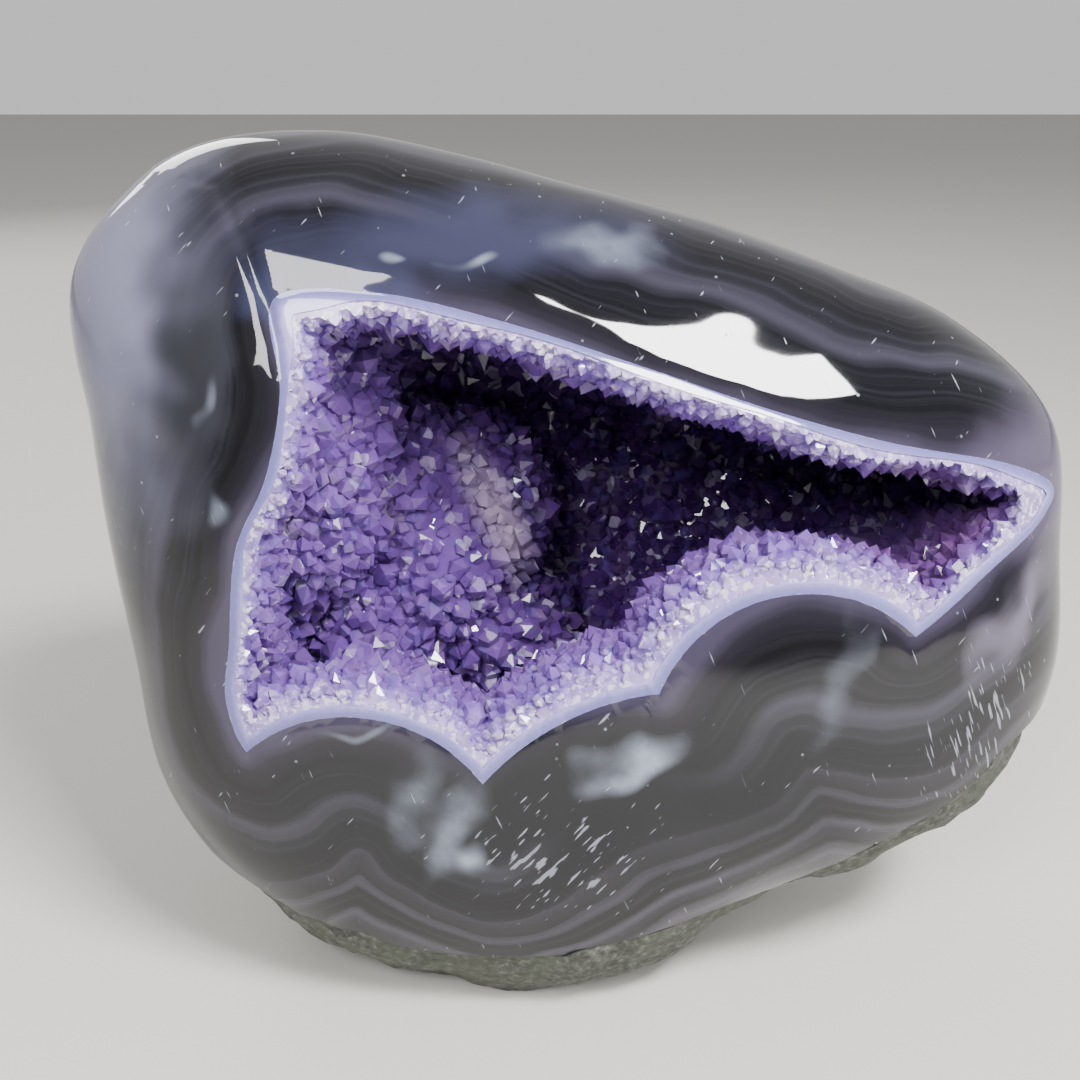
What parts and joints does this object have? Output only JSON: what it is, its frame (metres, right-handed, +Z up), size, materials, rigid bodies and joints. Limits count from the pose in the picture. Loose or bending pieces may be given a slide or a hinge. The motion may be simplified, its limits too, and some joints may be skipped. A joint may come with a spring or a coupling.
{
  "type": "amethyst geode",
  "caption": "Polished dark agate nodule leaning slightly back, with a wide hollow in its front face lined with amethyst crystals, standing on its rough underside.",
  "frame": {"origin": "middle of the small flat spot under the stone, on the surface it stands on", "axes": "+Z up, -Z out of the flat spot; +X to the right along the long side of the cut face; the cut face looks along -Y, tilted back by 12 degrees"},
  "size_m": [0.1972, 0.1209, 0.163],
  "materials": {
    "polished_agate": "mirror polished, translucent banded grey agate",
    "rough_basalt_skin": "rough broken grey-green rock skin, ground flat where it stands",
    "amethyst": "clear to milky purple quartz crystals with bright flat faces"
  },
  "bodies": {
    "root": {"agate_body": "polished_agate", "rock_rind": "rough_basalt_skin", "amethyst_crust": "amethyst"}
  },
  "joints": []
}
